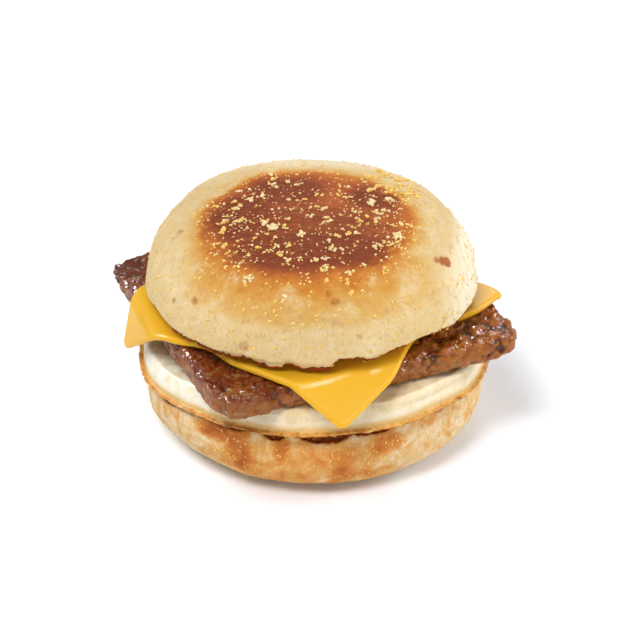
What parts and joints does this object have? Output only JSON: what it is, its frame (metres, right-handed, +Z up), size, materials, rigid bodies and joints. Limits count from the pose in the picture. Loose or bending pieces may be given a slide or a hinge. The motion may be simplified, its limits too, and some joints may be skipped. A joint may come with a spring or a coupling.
{
  "type": "breakfast sandwich",
  "caption": "Split toasted muffin round a fried egg disc, a square sausage patty and a bent slice of cheese, with cornmeal on its domed crown.",
  "frame": {"origin": "centre of the flat griddled face under the muffin base, which the sandwich rests on", "axes": "+Z up through the layers, -Y towards the front that the picture shows, +X to the right of that view"},
  "size_m": [0.1175, 0.1227, 0.0707],
  "materials": {
    "muffin_crown": "pale griddled bread with a brown toasted top, dusted with cornmeal",
    "muffin_base": "golden griddled bread, dusted with cornmeal",
    "egg": "moist cooked egg white with a thin browned edge",
    "sausage": "greasy browned minced meat",
    "cheese": "soft melted slice with a low sheen"
  },
  "bodies": {
    "root": {"muffin_base": "muffin_base", "egg_patty": "egg", "sausage_patty": "sausage", "cheese_slice": "cheese", "muffin_crown": "muffin_crown"}
  },
  "joints": []
}
